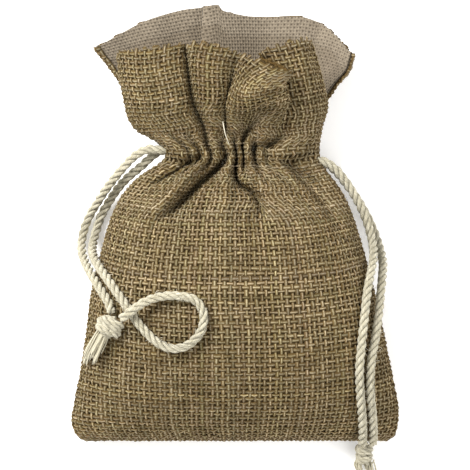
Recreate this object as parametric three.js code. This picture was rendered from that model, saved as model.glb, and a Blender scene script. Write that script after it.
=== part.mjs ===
// Drawstring gift pouch: burlap outside, cotton lining, gathered neck, two cords with knots.
// Millimetres. The pouch lies on its back: +Z up from the table, +Y from bottom seam to mouth.
import * as THREE from 'three';
import { mergeVertices } from 'three/addons/utils/BufferGeometryUtils.js';

// Driving dimensions
const halfLength = 59.8;
const halfWidthMax = 44.7;
const clothThick = 1.0;
const liningThick = 0.6;
const airGap = 0.3;
const neckY = 18.4;
const channelLow = 15.2;
const channelHigh = 21.6;
const panelTop = 22.8;
const flapBase = 24.8;
const channelRoom = 3.3;
const channelInset = 7;
const exitRise = 3.0;
const seamGap = 0.15;
const cordDiameter = 2.6;
const cordSides = 8;
const cordStep = 6.0;
const leftLoopY = 19.9;
const rightLoopY = 16.9;
const strandApart = 1.5;
const seamHeightNeck = 9.8;
const columns = 16;
const allowanceWide = 4;
const allowanceThick = 0.9;
const allowanceInset = 1;
const stitchCount = 10;
const stitchSpread = 0.8;
const stitchThick = 0.6;
const stitchLow = 0.4;
const stitchHigh = 0.7;
const stitchStep = 1.8;

// Finishes
const burlap = { color: 0x9c8a68, roughness: 0.95, metalness: 0 };
const lining = { color: 0xb9aa93, roughness: 0.9, metalness: 0 };
const cordFinish = { color: 0xe6dcbf, roughness: 0.85, metalness: 0 };
const threadFinish = { color: 0x8f7c58, roughness: 0.8, metalness: 0 };

const pouch = new THREE.Group();

function addPiece(name, geometry, finish) {
  const piece = new THREE.Mesh(geometry, new THREE.MeshStandardMaterial(finish));
  piece.name = name;
  pouch.add(piece);
  return piece;
}

// A smooth curve through [position, value] pairs, level beyond its ends.
function through(pairs) {
  const last = pairs.length - 1;
  const slope = (i) => {
    const a = pairs[Math.max(i - 1, 0)];
    const b = pairs[Math.min(i + 1, last)];
    return (b[1] - a[1]) / (b[0] - a[0]);
  };
  return (at) => {
    if (at <= pairs[0][0]) return pairs[0][1];
    if (at >= pairs[last][0]) return pairs[last][1];
    let i = 0;
    while (at > pairs[i + 1][0]) i += 1;
    const [a, b] = [pairs[i], pairs[i + 1]];
    const span = b[0] - a[0];
    const t = (at - a[0]) / span;
    const h = t * t * (3 - 2 * t);
    const rise = slope(i) * span * t * (1 - t) * (1 - t);
    const fall = slope(i + 1) * span * t * t * (1 - t);
    return a[1] * (1 - h) + b[1] * h + rise - fall;
  };
}

// The pouch seen from above: x of its left and right side seams at each y.
const leftEdge = through([
  [-halfLength, -41], [-58.6, -43.2], [-55, -halfWidthMax], [-50, -44], [-43, -42.6],
  [-32, -40.8], [-18, -38.9], [-12, -37.4], [-6, -35.9], [0.5, -34], [5, -32], [9, -29.4], [13, -25],
  [15.5, -20.6], [neckY, -18.6], [21.5, -20.6], [24, -25], [27, -27.4], [31, -29.2], [38, -32.4],
  [42.5, -35.4], [47, -37.8],
]);
const rightEdge = through([
  [-halfLength, 41.5], [-58.6, 43.6], [-55, halfWidthMax], [-50, 44.6], [-45, 43.6],
  [-34, 41.4], [-22, 38.8], [-14, 36.8], [-9, 35.4], [-3.5, 33.9], [4.5, 31], [9, 28.6], [13, 25.4],
  [15.5, 23.6], [neckY, 23], [21.5, 23.1], [26, 23.8], [29.5, 24.6], [32.5, 26.4], [36, 29],
  [40, 31.2], [47, 32.8],
]);

// Heights: the side seam above the table, the front above the seam, the back below it.
const seamZ = through([
  [-halfLength, 5.6], [-52, 6.6], [-40, 8.4], [-25, 9], [0, 9], [neckY, seamHeightNeck],
  [30, 9], [47, 8.5],
]);
const frontRise = through([
  [-halfLength, clothThick], [-58.9, 3.4], [-56, 8], [-50, 13], [-42, 17.2], [-30, 20],
  [-18, 20.8], [-6, 19.8], [2, 17], [8, 13.4], [13, 10], [channelLow, 8.6], [neckY, 8.4],
  [panelTop, 8.6],
]);
const backDrop = through([
  [-halfLength, clothThick], [-58.9, 2.8], [-56, 4.8], [-50, 7.2], [-42, 9.6], [0, 10.4],
  [8, 9.8], [channelLow, 8.3], [panelTop, 8.3], [42, 5.6], [halfLength, 3.4],
]);

// Profile over the width: 1 in the middle, 0 at the side seams (u = -1 and 1).
const crown = (u) => Math.pow(Math.max(1 - Math.pow(Math.abs(u), 2.5), 0), 0.58);
const flatCrown = (u) => Math.pow(Math.max(1 - Math.pow(Math.abs(u), 3.4), 0), 0.7);

const smooth = (low, high, at) => {
  const t = Math.min(Math.max((at - low) / (high - low), 0), 1);
  return t * t * (3 - 2 * t);
};

// 1 inside the drawstring channel, 0 a millimetre outside it.
const inChannel = (y) => smooth(channelLow - 1, channelLow, y) * (1 - smooth(channelHigh, channelHigh + 1, y));

// A point of the body, at depth mm under the outer face. Linings also make room for the cords.
function bodyPoint(u, y, depth, isLining, rise, profile, up) {
  const middle = (leftEdge(y) + rightEdge(y)) / 2;
  const half = (rightEdge(y) - leftEdge(y)) / 2;
  const room = isLining ? inChannel(y) : 0;
  const x = middle + (half - depth - room * channelInset) * u;
  const exit = isLining ? 0 : exitRise * inChannel(y) * smooth(0.5, 0.8, Math.abs(u));
  const height = Math.max(rise(y) - depth - room * channelRoom, 0) * profile(u);
  return [x, y, seamZ(y) + up * (seamGap + exit + height)];
}

const frontBody = (depth, isLining) => (u, y) => bodyPoint(u, y, depth, isLining, frontRise, crown, 1);

// The back runs on past the neck as the low flap. Its rows are numbered by y at mid width.
const backTop = (u) => halfLength - 1 - 11 * Math.pow(Math.abs(u), 2.4) + Math.cos(u * 9);
const backFace = (depth, isLining) => (u, row) => {
  const share = Math.max(row - panelTop, 0) / (halfLength - panelTop);
  const y = Math.min(row, panelTop) + share * (backTop(u) - panelTop);
  const point = bodyPoint(u, y, depth, isLining, () => backDrop(row), flatCrown, -1);
  return [point[0], y, Math.max(point[2], depth)];
};

// Top edge of the front flap across its width.
const frontTop = (u) => 48.6 - 4 * Math.pow(Math.abs(u), 4) + 0.8 * Math.cos(u * 9);

// Front flap: stands up from the neck and bends over towards its sides.
const frontFlap = (depth) => (u, s) => {
  const y = flapBase + s * (frontTop(u) - flapBase);
  const x = (leftEdge(y) + rightEdge(y)) / 2 + ((rightEdge(y) - leftEdge(y)) / 2 - 1 - depth) * u;
  const middle = 18 + 17.5 * s;
  const side = 12.4 + 6.6 * s;
  return [x, y, side + (middle - side - depth) * crown(u) - 0.2 * depth];
};

// A closed sheet: outer and inner face over the same grid, joined round their four edges.
function sheet(rows, outer, inner, up) {
  const positions = [];
  const indices = [];
  const across = Array.from({ length: columns + 1 }, (_, i) => Math.sin((Math.PI / 2) * (2 * i / columns - 1)));
  const stride = columns + 1;
  for (const face of [outer, inner]) {
    for (const row of rows) {
      for (const u of across) positions.push(...face(u, row));
    }
  }
  const at = (face, i, j) => (face * rows.length + i) * stride + j;
  const quad = (a, b, c, d) => {
    if (up > 0) indices.push(a, b, c, a, c, d);
    else indices.push(a, c, b, a, d, c);
  };
  const lastRow = rows.length - 1;
  for (let i = 0; i < lastRow; i += 1) {
    for (let j = 0; j < columns; j += 1) {
      quad(at(0, i, j), at(0, i, j + 1), at(0, i + 1, j + 1), at(0, i + 1, j));
      quad(at(1, i, j), at(1, i + 1, j), at(1, i + 1, j + 1), at(1, i, j + 1));
    }
    quad(at(1, i, 0), at(0, i, 0), at(0, i + 1, 0), at(1, i + 1, 0));
    quad(at(0, i, columns), at(1, i, columns), at(1, i + 1, columns), at(0, i + 1, columns));
  }
  for (let j = 0; j < columns; j += 1) {
    quad(at(1, 0, j), at(1, 0, j + 1), at(0, 0, j + 1), at(0, 0, j));
    quad(at(0, lastRow, j), at(0, lastRow, j + 1), at(1, lastRow, j + 1), at(1, lastRow, j));
  }
  const geometry = new THREE.BufferGeometry();
  geometry.setAttribute('position', new THREE.Float32BufferAttribute(positions, 3));
  geometry.setIndex(indices);
  geometry.computeVertexNormals();
  return geometry;
}

// A solid tube through hand-placed points.
function tube(points, diameter, stepLength = cordStep) {
  const curve = new THREE.CatmullRomCurve3(points.map((p) => new THREE.Vector3(...p)), false, 'centripetal');
  const section = new THREE.Shape(Array.from({ length: cordSides }, (_, i) => {
    const angle = (2 * Math.PI * i) / cordSides;
    return new THREE.Vector2(Math.cos(angle) * diameter / 2, Math.sin(angle) * diameter / 2);
  }));
  const steps = Math.max(Math.round(curve.getLength() / stepLength), 3);
  const geometry = new THREE.ExtrudeGeometry(section, { steps, extrudePath: curve, bevelEnabled: false });
  geometry.deleteAttribute('uv');
  geometry.deleteAttribute('normal');
  return mergeVertices(geometry, 1e-4);
}

// Rows of the grid along the pouch, closer together where it curves most.
const bodyRows = [-halfLength, -58.9, -56, -50, -42, -32, -20, -8, 1, 8, 12.5,
  channelLow - 1, channelLow, neckY, channelHigh, channelHigh + 1, panelTop];
const backRows = [...bodyRows, 27, 31.5, 36.5, 42, 47.5, 53, 57, halfLength];
const flapRows = [0, 0.14, 0.3, 0.48, 0.66, 0.83, 1];
const liningDepth = clothThick + airGap;

// A solid bar through stations, each given as its four corners in turn.
function bar(stations) {
  const indices = [];
  const last = (stations.length - 1) * 4;
  for (let i = 0; i < last; i += 4) {
    for (let k = 0; k < 4; k += 1) {
      const next = (k + 1) % 4;
      indices.push(i + k, i + 4 + k, i + 4 + next, i + k, i + 4 + next, i + next);
    }
  }
  indices.push(0, 1, 2, 0, 2, 3, last, last + 2, last + 1, last, last + 3, last + 2);
  const geometry = new THREE.BufferGeometry();
  geometry.setAttribute('position', new THREE.Float32BufferAttribute(stations.flat(2), 3));
  geometry.setIndex(indices);
  return geometry;
}

// The inside of the pouch starts this deep under the outer face.
const insideDepth = liningDepth + liningThick + allowanceInset;

// Side seam allowance: a strip that points inwards from the seam, inside the lining.
function sideSeam(edge, inward) {
  const levels = [-53, -44, -34, -22, -11, -3, 4, 10];
  const stations = levels.map((y) => {
    const outer = edge(y) + inward * insideDepth;
    const inner = outer + inward * allowanceWide;
    const [low, high] = [seamZ(y) - allowanceThick / 2, seamZ(y) + allowanceThick / 2];
    const corners = [[outer, y, low], [outer, y, high], [inner, y, high], [inner, y, low]];
    return inward > 0 ? corners.reverse() : corners;
  });
  return bar(stations);
}

// Bottom seam allowance, the same strip along the bottom.
function bottomSeam() {
  const places = [-37, -26, -13, 0, 13, 26, 37];
  const front = -halfLength + 1.6;
  const stations = places.map((x) => {
    const [low, high] = [seamZ(front) - allowanceThick / 2, seamZ(front) + allowanceThick / 2];
    const back = front + allowanceWide;
    return [[x, front, low], [x, front, high], [x, back, high], [x, back, low]];
  });
  return bar(stations);
}

// One row of channel stitches: a thread that dips towards the cloth between its stitches.
function stitchRow(face, y, up) {
  const points = [];
  for (let i = 0; i <= 2 * stitchCount; i += 1) {
    const point = face(stitchSpread * (i / stitchCount - 1), y);
    const lift = stitchThick / 2 + (i % 2 === 0 ? stitchLow : stitchHigh);
    points.push([point[0], y, point[2] + up * lift]);
  }
  return tube(points, stitchThick, stitchStep);
}

// The hidden part of a drawstring: in at its own side, round the neck in the channel and back out.
function channelLoop(y, side) {
  const middle = (leftEdge(y) + rightEdge(y)) / 2;
  const half = (rightEdge(y) - leftEdge(y)) / 2;
  const bow = [[-0.71, strandApart], [-0.665, 2.1], [-0.58, 4.1], [-0.35, 5.4], [0, 5.75], [0.35, 5.5],
    [0.6, 4.6], [0.78, 2.6], [0.85, 0]];
  const back = bow.slice(0, -1).reverse().map(([across, rise]) => [across, -rise]);
  return [...bow, ...back].map(([across, rise]) => [middle - side * half * across, y, seamHeightNeck + rise]);
}

// A pulled-tight knot as a rounded lump.
function knot(place, size) {
  const lump = new THREE.SphereGeometry(1, 12, 8);
  lump.scale(size[0] / 2, size[1] / 2, size[2] / 2);
  lump.translate(...place);
  lump.deleteAttribute('uv');
  lump.deleteAttribute('normal');
  return mergeVertices(lump, 1e-4);
}

// Free cords. Each starts inside the exit of its channel, straight out, then runs to its knot.
const freeCords = {
  left_cord_outer: [
    [-14, 19.9, 11.3], [-17.4, 19.9, 11.3], [-20.8, 19.9, 11.2], [-23.6, 20.1, 10.7], [-26, 19.2, 10],
    [-28.3, 17.5, 9.2], [-30.6, 15.1, 8.3], [-33, 12.3, 7.2], [-35.4, 9.2, 5.8], [-37.6, 5.9, 4.2],
    [-39.7, 2.6, 2.6], [-41.3, -1, 1.7], [-42.1, -4.4, 2.2], [-42.1, -7.4, 4.8], [-41.3, -10.2, 8.6],
    [-39.8, -13, 13.2], [-37.9, -16.1, 17.4], [-35.7, -19.4, 20.6], [-34, -22.2, 22.6], [-33.5, -24.4, 23.6],
  ],
  left_cord_loop: [
    [-14, 19.9, 8.3], [-17.4, 19.9, 8.3], [-20.6, 19.6, 8.2], [-23, 18, 7.8], [-25.2, 15.9, 7.1],
    [-27.8, 13.8, 6.2], [-30.4, 11.5, 5], [-32.8, 8.6, 3.5], [-34.9, 5.4, 2.4], [-36.8, 2, 1.6],
    [-38, -1.4, 1.6], [-38.8, -4.8, 3.6], [-39.1, -7.4, 7.8], [-38.3, -10, 13.3], [-36.3, -13, 18.2],
    [-33.8, -16.4, 21.8], [-31.2, -20, 24.4], [-28.8, -23.3, 26], [-25.4, -28, 27.4], [-21, -32.3, 28.3],
    [-16.8, -34, 28.9], [-12.6, -33, 29.8], [-9.2, -29.4, 30.8], [-8.4, -24.8, 31.4], [-10.6, -21, 31.4],
    [-15, -19.8, 31], [-20, -20, 30.3], [-24.2, -21.4, 29.6], [-27.6, -23.7, 29.9], [-30.6, -26, 28.6],
  ],
  right_cord_inner: [
    [18.3, 16.9, 11.3], [21.2, 16.9, 11.3], [24.4, 16.7, 11.2], [27.2, 14.9, 10.4], [30.2, 11.4, 9.2],
    [33.2, 6.8, 7.4], [35.6, 2, 6], [37.2, -2.8, 6.2], [37.9, -6.6, 8.8], [37.9, -9.8, 12.4],
    [37.1, -13.6, 16], [36, -19, 19.2], [35.1, -26.4, 21.2], [34.3, -33.8, 22.2], [33.8, -40, 21.8],
    [34.1, -46.7, 19.6], [34.6, -51.6, 16.9], [34.9, -55.4, 14.3], [35, -58.2, 11.7], [35, -60.6, 9],
  ],
  right_cord_outer: [
    [18.3, 16.9, 8.3], [21.2, 16.9, 8.3], [24.6, 16.5, 8.1], [27.6, 14.2, 7], [31, 10.2, 5],
    [34.2, 5.6, 3], [37, 0.6, 1.7], [39, -4.2, 1.7], [40.2, -8.2, 4.4], [40.6, -11.6, 8.4],
    [40.3, -15, 11.9], [39.8, -19.2, 14.6], [39.2, -25, 16.7], [38.2, -31.4, 18.6], [37.1, -37.5, 19.9],
    [36.8, -43, 19.4], [37, -48, 17.6], [37.5, -52.4, 15.2], [37.8, -56, 12.8], [37.9, -58.8, 10.4],
    [37.7, -60.8, 8.7],
  ],
};

// Short frayed ends past each knot.
const tails = {
  left_tail_inner: [[-35.7, -31.8, 22.4], [-37, -34.4, 21.4], [-38.3, -37.2, 19.6], [-39.5, -39.8, 17.4]],
  left_tail_outer: [[-38.4, -30.9, 19.6], [-39.7, -33.4, 18], [-41, -36.2, 15.6], [-42.1, -38.8, 13]],
  right_tail_left: [[34.1, -65.7, 2.6], [34.1, -66.8, 1.8], [34.3, -68, 1.5], [34.4, -69.2, 1.5]],
  right_tail_right: [[36.9, -65.7, 2.6], [37.1, -66.8, 1.8], [37.1, -68, 1.5], [37.2, -69.2, 1.5]],
};

addPiece('front_panel', sheet(bodyRows, frontBody(0, false), frontBody(clothThick, false), 1), burlap);
addPiece('back_panel', sheet(backRows, backFace(0, false), backFace(clothThick, false), -1), burlap);
addPiece('front_lining', sheet(bodyRows.slice(1), frontBody(liningDepth, true),
  frontBody(liningDepth + liningThick, true), 1), lining);
addPiece('back_lining', sheet(backRows.slice(1), backFace(liningDepth, true),
  backFace(liningDepth + liningThick, true), -1), lining);
addPiece('front_flap', sheet(flapRows, frontFlap(0), frontFlap(clothThick), 1), burlap);
addPiece('front_flap_lining', sheet(flapRows, frontFlap(liningDepth),
  frontFlap(liningDepth + liningThick), 1), lining);
addPiece('left_side_seam', sideSeam(leftEdge, 1), threadFinish);
addPiece('right_side_seam', sideSeam(rightEdge, -1), threadFinish);
addPiece('bottom_seam', bottomSeam(), threadFinish);
addPiece('front_stitch_lower', stitchRow(frontBody(0, false), channelLow - 1, 1), threadFinish);
addPiece('front_stitch_upper', stitchRow(frontBody(0, false), channelHigh + 1, 1), threadFinish);
addPiece('back_stitch_lower', stitchRow(backFace(0, false), channelLow - 1, -1), threadFinish);
addPiece('back_stitch_upper', stitchRow(backFace(0, false), channelHigh + 1, -1), threadFinish);
addPiece('left_channel_cord', tube(channelLoop(leftLoopY, -1), cordDiameter, 4), cordFinish);
addPiece('right_channel_cord', tube(channelLoop(rightLoopY, 1), cordDiameter, 4), cordFinish);
for (const [name, route] of Object.entries(freeCords)) {
  addPiece(name, tube(route, cordDiameter), cordFinish);
}
addPiece('left_knot', knot([-34.2, -28.1, 24.4], [8.2, 5.4, 5.4]), cordFinish);
addPiece('right_knot', knot([35.4, -62.8, 3.4], [5.4, 5.4, 6.4]), cordFinish);
for (const [name, route] of Object.entries(tails)) {
  addPiece(name, tube(route, cordDiameter, 3), cordFinish);
}

export default pouch;
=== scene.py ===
import math
import bpy
import numpy as np
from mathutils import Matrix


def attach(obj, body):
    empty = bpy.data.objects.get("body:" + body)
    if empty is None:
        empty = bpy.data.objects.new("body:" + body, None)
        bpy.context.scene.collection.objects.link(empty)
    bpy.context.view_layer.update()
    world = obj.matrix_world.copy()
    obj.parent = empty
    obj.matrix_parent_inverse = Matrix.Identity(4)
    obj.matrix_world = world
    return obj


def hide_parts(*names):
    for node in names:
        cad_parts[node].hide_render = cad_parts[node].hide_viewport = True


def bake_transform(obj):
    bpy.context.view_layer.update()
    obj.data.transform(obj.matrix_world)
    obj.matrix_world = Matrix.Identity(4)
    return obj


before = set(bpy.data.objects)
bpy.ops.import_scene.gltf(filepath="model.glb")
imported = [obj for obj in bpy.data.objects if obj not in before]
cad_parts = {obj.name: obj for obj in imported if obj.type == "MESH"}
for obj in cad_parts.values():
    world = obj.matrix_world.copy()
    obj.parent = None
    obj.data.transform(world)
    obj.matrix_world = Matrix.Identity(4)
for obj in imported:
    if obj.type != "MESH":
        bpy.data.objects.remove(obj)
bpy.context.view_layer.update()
mm = 0.001
scene = bpy.context.scene


def addObject(name, data):
    result = bpy.data.objects.new(name, data)
    scene.collection.objects.link(result)
    return result


def setInputs(tree, node, inputs):  # a socket is linked, any other value is set
    for label, value in inputs.items():
        if isinstance(value, bpy.types.NodeSocket):
            tree.links.new(value, node.inputs[label])
        else:
            node.inputs[label].default_value = value


def addNode(tree, kind, inputs, **settings):
    node = tree.nodes.new(kind)
    for label, value in settings.items():
        setattr(node, label, value)
    setInputs(tree, node, inputs)
    return node


# camera, floor and studio light: each lamp has its place, size and power
studio = {"cameraHeight": 1.2, "viewWidth": 0.1288, "middle": (0.00004, -0.0034), "plane": 0.009,
          "sensor": 36, "floorSize": 3.0, "floorColour": (0.93, 0.925, 0.915, 1), "floorRoughness": 0.9,
          "floorGlow": 0.3,
          "lamps": {"keyLamp": ((-0.46, 0.42, 0.60), 0.4, 12.4), "fillLamp": ((0.5, -0.3, 0.6), 0.6, 3.9)},
          "sky": 0.64}


def makeStudio(s):
    camera = bpy.data.cameras.new("studioCamera")
    camera.sensor_width = s["sensor"]
    camera.lens = s["sensor"] * (s["cameraHeight"] - s["plane"]) / s["viewWidth"]
    camera.clip_start = 0.01
    scene.camera = addObject("studioCamera", camera)
    scene.camera.location = (*s["middle"], s["cameraHeight"])

    half = s["floorSize"] / 2
    floorMesh = bpy.data.meshes.new("studioFloor")
    corners = [(-half, -half, 0), (half, -half, 0), (half, half, 0), (-half, half, 0)]
    floorMesh.from_pydata(corners, [], [(0, 1, 2, 3)])
    paper = bpy.data.materials.new("studioPaper")
    paper.use_nodes = True
    setInputs(paper.node_tree, paper.node_tree.nodes["Principled BSDF"],
              {"Base Color": s["floorColour"], "Roughness": s["floorRoughness"],
               "Emission Color": s["floorColour"], "Emission Strength": s["floorGlow"]})
    floorMesh.materials.append(paper)
    addObject("studioFloor", floorMesh)

    for name, (place, size, power) in s["lamps"].items():
        lamp = bpy.data.lights.new(name, "AREA")
        lamp.size = size
        lamp.energy = power
        lampObject = addObject(name, lamp)
        lampObject.location = place
        aim = -np.array(place) / np.linalg.norm(place)
        lampObject.rotation_euler = (math.acos(-aim[2]), 0, math.atan2(aim[1], aim[0]) - math.pi / 2)

    scene.world = bpy.data.worlds.new("studioSky")
    scene.world.use_nodes = True
    sky = scene.world.node_tree
    setInputs(sky, sky.nodes["Background"], {"Color": (1, 1, 1, 1), "Strength": s["sky"]})
    scene.view_settings.view_transform = "Standard"


makeStudio(studio)
print("studio set")


def hermite(places, values, query):  # smooth curve through values, whatever their other axes are
    if np.ndim(query) == 0:
        return hermite(places, values, [query])[0]
    places, values, query = np.asarray(places, float), np.asarray(values, float), np.asarray(query, float)
    slopes = np.empty_like(values)
    spread = (slice(None),) + (None,) * (values.ndim - 1)
    slopes[1:-1] = (values[2:] - values[:-2]) / (places[2:] - places[:-2])[spread]
    slopes[0] = (values[1] - values[0]) / (places[1] - places[0])
    slopes[-1] = (values[-1] - values[-2]) / (places[-1] - places[-2])
    at = np.clip(np.searchsorted(places, query, side="right") - 1, 0, len(places) - 2)
    gap = places[at + 1] - places[at]
    t = np.clip((query - places[at]) / gap, 0, 1)[spread]
    gap = gap[spread]
    return ((1 + 2 * t) * (1 - t) ** 2 * values[at] + t * (1 - t) ** 2 * gap * slopes[at]
            + t * t * (3 - 2 * t) * values[at + 1] + t * t * (t - 1) * gap * slopes[at + 1])


def evenly(points, count):  # the same curve with evenly spaced points
    points = np.asarray(points, float)
    along = np.concatenate([[0], np.cumsum(np.linalg.norm(np.diff(points, axis=0), axis=1))])
    want = np.linspace(0, along[-1], count)
    return np.stack([np.interp(want, along, points[:, k]) for k in range(points.shape[1])], 1)


def routeThrough(route, step, perSpan=14):  # centripetal curve through a route in mm, as the solids have it
    route = np.array(route, float) * mm
    route = np.vstack([2 * route[0] - route[1], route, 2 * route[-1] - route[-2]])
    out = []
    for k in range(1, len(route) - 2):
        level = list(route[k - 1:k + 3])
        at = np.concatenate([[0], np.cumsum(np.linalg.norm(np.diff(level, axis=0), axis=1) ** 0.5)])
        t = np.linspace(at[1], at[2], perSpan, endpoint=False)[:, None]
        for reach in (1, 2):
            level = [((at[j + reach] - t) * level[j] + (t - at[j]) * level[j + 1]) / (at[j + reach] - at[j])
                     for j in range(4 - reach)]
        out.append(((at[2] - t) * level[0] + (t - at[1]) * level[1]) / (at[2] - at[1]))
    out = np.vstack(out + [route[-2][None]])
    length = np.linalg.norm(np.diff(out, axis=0), axis=1).sum()
    return evenly(out, max(int(round(length / step)) + 1, 4))


def meshFrom(name, points, quads, material, colours=None, uvs=None):
    points, quads = np.asarray(points, np.float32), np.asarray(quads, np.int32)
    keep = np.ones(quads.shape, bool)
    keep[:, 3] = quads[:, 3] != quads[:, 0]  # a last corner that repeats the first makes a triangle
    corners, sizes = quads[keep], keep.sum(axis=1)
    mesh = bpy.data.meshes.new(name)
    mesh.vertices.add(len(points))
    mesh.vertices.foreach_set("co", points.ravel())
    mesh.loops.add(len(corners))
    mesh.loops.foreach_set("vertex_index", corners)
    mesh.polygons.add(len(quads))
    mesh.polygons.foreach_set("loop_start", (np.cumsum(sizes) - sizes).astype(np.int32))
    mesh.polygons.foreach_set("use_smooth", np.full(len(quads), True))
    mesh.update(calc_edges=True)
    mesh.validate()
    if colours is not None:
        # the strands' colours, which carry painted highlight on the crests and painted shade on the flanks
        layer = mesh.color_attributes.new("yarn", "FLOAT_COLOR", "POINT")
        layer.data.foreach_set("color", np.asarray(colours, np.float32).ravel())
    if uvs is not None:
        layer = mesh.uv_layers.new(name="weave")
        layer.data.foreach_set("uv", np.asarray(uvs, np.float32)[corners].ravel())
    mesh.materials.append(material)
    return addObject(name, mesh)


def joinPieces(name, pieces):
    bpy.ops.object.select_all(action="DESELECT")
    for piece in pieces:
        piece.select_set(True)
    bpy.context.view_layer.objects.active = pieces[0]
    bpy.ops.object.join()
    pieces[0].name = name
    pieces[0].data.name = name
    return pieces[0]


# node groups: each one has named inputs, and the shader groups put out only masks and heights
def newTree(kind, name, inputs, outputs):
    tree = bpy.data.node_groups.new(name, kind + "NodeTree")
    for label, socketKind, value in inputs:
        socket = tree.interface.new_socket(label, in_out="INPUT", socket_type="NodeSocket" + socketKind)
        if value is not None:
            socket.default_value = value
    for label, socketKind in outputs:
        tree.interface.new_socket(label, in_out="OUTPUT", socket_type="NodeSocket" + socketKind)
    return tree, tree.nodes.new("NodeGroupInput").outputs, tree.nodes.new("NodeGroupOutput")


def mathNode(tree, operation, *values):
    return addNode(tree, "ShaderNodeMath", dict(enumerate(values)), operation=operation).outputs[0]


def fibreGroup():  # streaky fibre flecks on any yarn
    tree, inside, outside = newTree(
        "Shader", "fibreFlecks",
        [("Vector", "Vector", (0, 0, 0)), ("Scale", "Float", 1000.0), ("Contrast", "Float", 0.5)],
        [("Mask", "Float"), ("Height", "Float")])
    fine = addNode(tree, "ShaderNodeTexNoise", {
        "Vector": inside["Vector"], "Scale": inside["Scale"], "Detail": 3})
    coarse = addNode(tree, "ShaderNodeTexNoise", {
        "Vector": inside["Vector"], "Scale": mathNode(tree, "MULTIPLY", inside["Scale"], 0.22), "Detail": 2})
    share = mathNode(tree, "MULTIPLY", coarse.outputs[0], 0.4)
    mixed = mathNode(tree, "MULTIPLY_ADD", fine.outputs[0], 0.6, share)
    stretch = mathNode(tree, "MULTIPLY", inside["Contrast"], 4.0)
    spread = mathNode(tree, "MULTIPLY_ADD", mathNode(tree, "SUBTRACT", mixed, 0.5), stretch, 0.5)
    clamp = addNode(tree, "ShaderNodeClamp", {0: spread})
    setInputs(tree, outside, {"Mask": clamp.outputs[0], "Height": fine.outputs[0]})
    return tree


def fineWeaveGroup():  # plain weave drawn on a UV map in metres
    tree, inside, outside = newTree(
        "Shader", "fineWeave", [("Vector", "Vector", (0, 0, 0)), ("Pitch", "Float", 0.0009)],
        [("Holes", "Float"), ("Over", "Float"), ("Height", "Float")])
    split = addNode(tree, "ShaderNodeSeparateXYZ", {0: inside["Vector"]})
    gaps, crests = [], []
    for axis in range(2):
        cycles = mathNode(tree, "DIVIDE", split.outputs[axis], inside["Pitch"])
        turn = mathNode(tree, "MULTIPLY", cycles, math.pi)
        gaps.append(mathNode(tree, "ABSOLUTE", mathNode(tree, "SINE", turn)))
        crests.append(mathNode(tree, "COSINE", turn))
    thread = mathNode(tree, "MAXIMUM", *gaps)
    raised = mathNode(tree, "MULTIPLY", mathNode(tree, "MULTIPLY", *gaps), 0.6)
    over = mathNode(tree, "MULTIPLY_ADD", mathNode(tree, "MULTIPLY", *crests), 0.5, 0.5)
    setInputs(tree, outside, {"Holes": thread, "Over": over, "Height": mathNode(tree, "ADD", raised, thread)})
    return tree


fibreFlecks = fibreGroup()
fineWeave = fineWeaveGroup()


# yarns, lining and cord: fleck scale and contrast, bump strength and depth, darkest and lightest colour
hair = {"roughness": 0.8, "sheen": 0.1, "specular": 0.15, "scale": 2400, "contrast": 0.5, "bump": 0.5,
        "deep": 0.0001}
yarnFinishes = {
    "burlapYarn": {"roughness": 0.95, "sheen": 0.02, "specular": 0.04, "scale": 1500, "contrast": 0.8,
                   "bump": 0.5, "deep": 0.0002, "toneAndPaintedLight": "yarn",
                   "dark": (0.62, 0.585, 0.50, 1), "light": (1.25, 1.26, 1.28, 1)},
    # a dark sheet under the yarns, whose colour is painted shade in the gaps between them
    "burlapPaintedShade": {"roughness": 0.95, "sheen": 0.0, "specular": 0.03, "scale": 900, "contrast": 0.5,
                    "bump": 0.4, "deep": 0.0002,
                    "dark": (0.042, 0.027, 0.009, 1), "light": (0.098, 0.066, 0.029, 1)},
    "stitchThread": {**hair, "roughness": 0.7,
                     "dark": (0.13, 0.095, 0.05, 1), "light": (0.26, 0.20, 0.12, 1)},
    "juteHair": {**hair, "dark": (0.30, 0.23, 0.12, 1), "light": (0.52, 0.43, 0.27, 1)},
    "cottonHair": {**hair, "dark": (0.60, 0.54, 0.40, 1), "light": (0.84, 0.79, 0.64, 1)}}
# the lining's hole colour is painted shade in the holes between its threads
cotton = {"roughness": 0.85, "sheen": 0.1, "specular": 0.15, "scale": 700, "contrast": 0.5, "bump": 0.8,
          "deep": 0.0002, "holeShade": (0.032, 0.022, 0.012, 1), "patches": 0.45, "weave": 0.55, "cover": 1.25}
liningFinishes = {
    "liningCotton": {**cotton, "dark": (0.085, 0.065, 0.042, 1), "light": (0.29, 0.236, 0.168, 1)},
    # the hem is the lining's cotton painted lighter: painted light on the doubled band
    "hemCottonLit": {**cotton, "dark": (0.105, 0.082, 0.056, 1), "light": (0.35, 0.29, 0.211, 1)}}
cordFinish = {"roughness": 0.8, "sheen": 0.2, "specular": 0.15, "scale": 3.2, "contrast": 0.6, "bump": 1.0,
              "deep": 0.0004, "run": 260.0, "slant": 420.0,
              "dark": (0.25, 0.215, 0.118, 1), "light": (0.76, 0.71, 0.555, 1)}


def newMaterial(name, s):
    material = bpy.data.materials.new(name)
    material.use_nodes = True
    tree = material.node_tree
    setInputs(tree, tree.nodes["Principled BSDF"], {
        "Roughness": s["roughness"], "Specular IOR Level": s["specular"],
        "Sheen Weight": s["sheen"], "Sheen Roughness": 0.6})
    return material, tree


def flecksOn(tree, place, s):
    return addNode(tree, "ShaderNodeGroup", {"Vector": place, "Scale": s["scale"], "Contrast": s["contrast"]},
                   node_tree=fibreFlecks).outputs


def mixColours(tree, factor, first, second, blend="MIX"):
    return addNode(tree, "ShaderNodeMix", {0: factor, 6: first, 7: second},
                   data_type="RGBA", blend_type=blend).outputs[2]


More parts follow.
